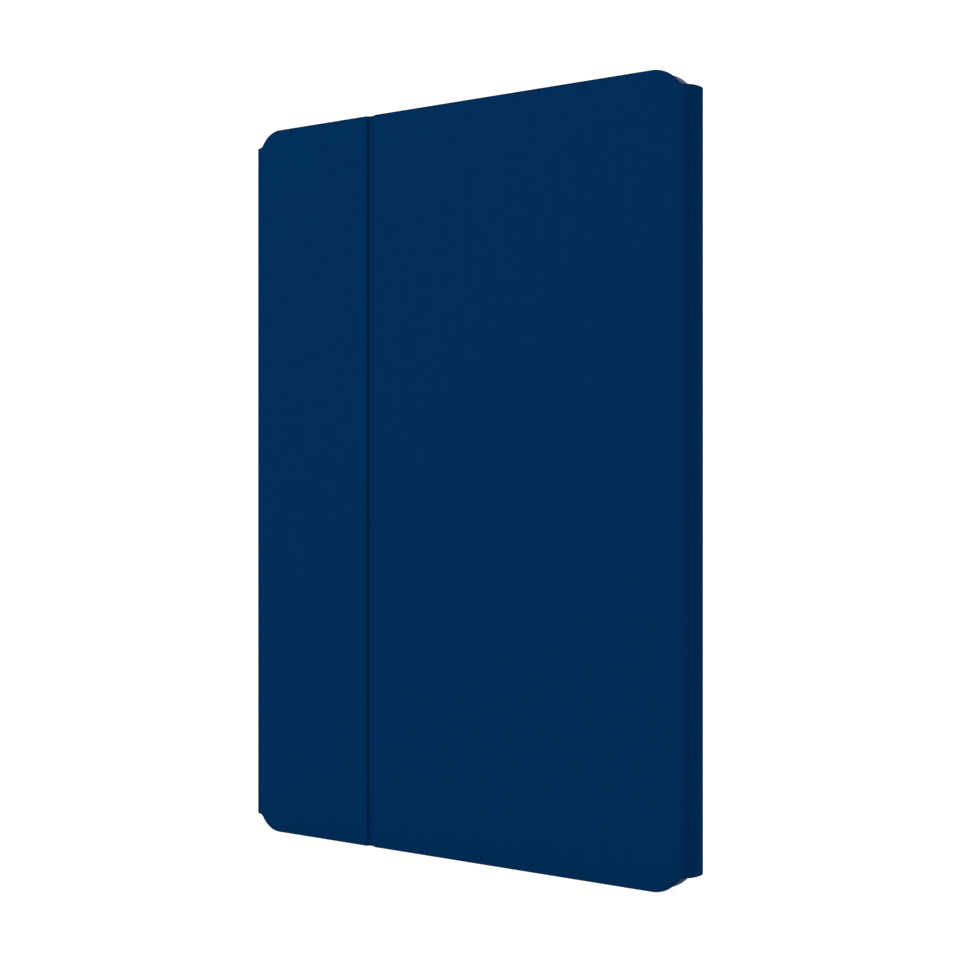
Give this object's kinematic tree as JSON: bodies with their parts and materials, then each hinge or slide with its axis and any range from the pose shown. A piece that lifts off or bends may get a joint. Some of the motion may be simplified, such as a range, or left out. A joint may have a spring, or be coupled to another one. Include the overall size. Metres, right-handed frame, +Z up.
{
  "type": "tablet keyboard case",
  "caption": "Slim fabric folio for a tablet: keyboard inside the creased front cover, plastic tray, wrap-round side strips and a hinged stand in the back.",
  "frame": {"origin": "bottom centre of the closed case's bounding box, standing on its short edge", "axes": "+Z up along the long side, +X towards the opening edge, spine at -X, front panel facing -Y"},
  "size_m": [0.2141, 0.0144, 0.296],
  "materials": {
    "fabric": "matte, fine weave",
    "lining": "brushed microfibre",
    "board": "glass-filled board, unseen",
    "core": "soft matte",
    "tray": "glossy",
    "deck": "fine satin texture",
    "keycap": "satin",
    "dome": "matte",
    "circuit": "satin",
    "hinge_steel": "brushed",
    "magnet": "nickel plated",
    "contact": "gold plated",
    "lamp": "clear"
  },
  "bodies": {
    "case_back": {"tray_shell": "tray", "back_board_main": "board", "back_fabric_main": "fabric", "back_board_spine": "board", "back_fabric_spine": "fabric", "stand_hinge_fixed_leaf_lower": "hinge_steel", "stand_hinge_fixed_leaf_upper": "hinge_steel", "contact_block": "deck"},
    "spine": {"spine_fabric": "fabric", "spine_core": "core", "flex_cable_spine": "contact"},
    "fold_panel": {"fold_fabric": "fabric", "fold_board": "board", "fold_lining": "lining", "flex_cable_fold": "contact"},
    "keyboard_panel": {"cover_fabric": "fabric", "cover_board": "board", "keyboard_base": "deck", "membrane": "circuit", "dome_sheet": "dome", "controller_board": "circuit", "wake_magnet": "magnet", "status_light": "lamp", "keyboard_deck": "deck"},
    "closure_strip": {"closure_fabric": "fabric", "closure_core": "core", "closure_magnet_lower": "magnet", "closure_magnet_upper": "magnet"},
    "stand": {"stand_board": "board", "stand_fabric": "fabric", "stand_hinge_moving_leaf_lower": "hinge_steel", "stand_hinge_moving_leaf_upper": "hinge_steel", "stand_hinge_pin_lower": "hinge_steel", "stand_hinge_pin_upper": "hinge_steel"},
    "key_backspace": {"key_backspace": "keycap"},
    "key_tab": {"key_tab": "keycap"},
    "key_backslash": {"key_backslash": "keycap"},
    "key_caps_lock": {"key_caps_lock": "keycap"},
    "key_enter": {"key_enter": "keycap"},
    "key_shift_left": {"key_shift_left": "keycap"},
    "key_shift_right": {"key_shift_right": "keycap"},
    "key_ctrl_left": {"key_ctrl_left": "keycap"},
    "key_fn": {"key_fn": "keycap"},
    "key_command": {"key_command": "keycap"},
    "key_alt_left": {"key_alt_left": "keycap"},
    "key_space": {"key_space": "keycap"},
    "key_alt_right": {"key_alt_right": "keycap"},
    "key_ctrl_right": {"key_ctrl_right": "keycap"},
    "key_arrow_left": {"key_arrow_left": "keycap"},
    "key_arrow_up": {"key_arrow_up": "keycap"},
    "key_arrow_down": {"key_arrow_down": "keycap"},
    "key_arrow_right": {"key_arrow_right": "keycap"},
    "keys_function_row": {"keys_function_row": "keycap"},
    "keys_number_row": {"keys_number_row": "keycap"},
    "keys_upper_row": {"keys_upper_row": "keycap"},
    "keys_home_row": {"keys_home_row": "keycap"},
    "keys_lower_row": {"keys_lower_row": "keycap"},
    "contact_pin_1": {"contact_pin_1": "contact"},
    "contact_pin_2": {"contact_pin_2": "contact"},
    "contact_pin_3": {"contact_pin_3": "contact"}
  },
  "joints": [
    {"name": "back_stand", "type": "hinge", "parent": "case_back", "child": "stand", "pos_m": [0.004, 0.00595, 0.148], "axis": [0, 0, -1], "range_deg": [0, 110]},
    {"name": "cover_spine", "type": "hinge", "parent": "case_back", "child": "spine", "pos_m": [-0.10245, 0.0072, 0.148], "axis": [0, 0, -1], "range_deg": [0, 90]},
    {"name": "cover_spine_front", "type": "hinge", "parent": "spine", "child": "fold_panel", "pos_m": [-0.10245, -0.0072, 0.148], "axis": [0, 0, -1], "range_deg": [0, 90]},
    {"name": "cover_crease", "type": "hinge", "parent": "fold_panel", "child": "keyboard_panel", "pos_m": [-0.0412, -0.0072, 0.148], "axis": [0, 0, -1], "range_deg": [0, 110]},
    {"name": "closure_strip", "type": "hinge", "parent": "keyboard_panel", "child": "closure_strip", "pos_m": [0.10245, -0.0072, 0.148], "axis": [0, 0, -1], "range_deg": [0, 90]},
    {"name": "key_backspace", "type": "slide", "parent": "keyboard_panel", "child": "key_backspace", "axis": [0, -1, 0], "range_m": [0, 0.001], "stiffness_N_per_m": 600},
    {"name": "key_tab", "type": "slide", "parent": "keyboard_panel", "child": "key_tab", "axis": [0, -1, 0], "range_m": [0, 0.001], "stiffness_N_per_m": 600},
    {"name": "key_backslash", "type": "slide", "parent": "keyboard_panel", "child": "key_backslash", "axis": [0, -1, 0], "range_m": [0, 0.001], "stiffness_N_per_m": 600},
    {"name": "key_caps_lock", "type": "slide", "parent": "keyboard_panel", "child": "key_caps_lock", "axis": [0, -1, 0], "range_m": [0, 0.001], "stiffness_N_per_m": 600},
    {"name": "key_enter", "type": "slide", "parent": "keyboard_panel", "child": "key_enter", "axis": [0, -1, 0], "range_m": [0, 0.001], "stiffness_N_per_m": 600},
    {"name": "key_shift_left", "type": "slide", "parent": "keyboard_panel", "child": "key_shift_left", "axis": [0, -1, 0], "range_m": [0, 0.001], "stiffness_N_per_m": 600},
    {"name": "key_shift_right", "type": "slide", "parent": "keyboard_panel", "child": "key_shift_right", "axis": [0, -1, 0], "range_m": [0, 0.001], "stiffness_N_per_m": 600},
    {"name": "key_ctrl_left", "type": "slide", "parent": "keyboard_panel", "child": "key_ctrl_left", "axis": [0, -1, 0], "range_m": [0, 0.001], "stiffness_N_per_m": 600},
    {"name": "key_fn", "type": "slide", "parent": "keyboard_panel", "child": "key_fn", "axis": [0, -1, 0], "range_m": [0, 0.001], "stiffness_N_per_m": 600},
    {"name": "key_command", "type": "slide", "parent": "keyboard_panel", "child": "key_command", "axis": [0, -1, 0], "range_m": [0, 0.001], "stiffness_N_per_m": 600},
    {"name": "key_alt_left", "type": "slide", "parent": "keyboard_panel", "child": "key_alt_left", "axis": [0, -1, 0], "range_m": [0, 0.001], "stiffness_N_per_m": 600},
    {"name": "key_space", "type": "slide", "parent": "keyboard_panel", "child": "key_space", "axis": [0, -1, 0], "range_m": [0, 0.001], "stiffness_N_per_m": 900},
    {"name": "key_alt_right", "type": "slide", "parent": "keyboard_panel", "child": "key_alt_right", "axis": [0, -1, 0], "range_m": [0, 0.001], "stiffness_N_per_m": 600},
    {"name": "key_ctrl_right", "type": "slide", "parent": "keyboard_panel", "child": "key_ctrl_right", "axis": [0, -1, 0], "range_m": [0, 0.001], "stiffness_N_per_m": 600},
    {"name": "key_arrow_left", "type": "slide", "parent": "keyboard_panel", "child": "key_arrow_left", "axis": [0, -1, 0], "range_m": [0, 0.001], "stiffness_N_per_m": 600},
    {"name": "key_arrow_up", "type": "slide", "parent": "keyboard_panel", "child": "key_arrow_up", "axis": [0, -1, 0], "range_m": [0, 0.001], "stiffness_N_per_m": 600},
    {"name": "key_arrow_down", "type": "slide", "parent": "keyboard_panel", "child": "key_arrow_down", "axis": [0, -1, 0], "range_m": [0, 0.001], "stiffness_N_per_m": 600},
    {"name": "key_arrow_right", "type": "slide", "parent": "keyboard_panel", "child": "key_arrow_right", "axis": [0, -1, 0], "range_m": [0, 0.001], "stiffness_N_per_m": 600},
    {"name": "keys_function_row", "type": "slide", "parent": "keyboard_panel", "child": "keys_function_row", "axis": [0, -1, 0], "range_m": [0, 0.001], "stiffness_N_per_m": 2500},
    {"name": "keys_number_row", "type": "slide", "parent": "keyboard_panel", "child": "keys_number_row", "axis": [0, -1, 0], "range_m": [0, 0.001], "stiffness_N_per_m": 2500},
    {"name": "keys_upper_row", "type": "slide", "parent": "keyboard_panel", "child": "keys_upper_row", "axis": [0, -1, 0], "range_m": [0, 0.001], "stiffness_N_per_m": 2500},
    {"name": "keys_home_row", "type": "slide", "parent": "keyboard_panel", "child": "keys_home_row", "axis": [0, -1, 0], "range_m": [0, 0.001], "stiffness_N_per_m": 2500},
    {"name": "keys_lower_row", "type": "slide", "parent": "keyboard_panel", "child": "keys_lower_row", "axis": [0, -1, 0], "range_m": [0, 0.001], "stiffness_N_per_m": 2500},
    {"name": "contact_pin_1", "type": "slide", "parent": "case_back", "child": "contact_pin_1", "axis": [-1, 0, 0], "range_m": [0, 0.0006], "stiffness_N_per_m": 300},
    {"name": "contact_pin_2", "type": "slide", "parent": "case_back", "child": "contact_pin_2", "axis": [-1, 0, 0], "range_m": [0, 0.0006], "stiffness_N_per_m": 300},
    {"name": "contact_pin_3", "type": "slide", "parent": "case_back", "child": "contact_pin_3", "axis": [-1, 0, 0], "range_m": [0, 0.0006], "stiffness_N_per_m": 300}
  ],
  "couplings": [
    {"joint": "cover_spine_front", "follows": "cover_spine", "ratio": 1}
  ]
}
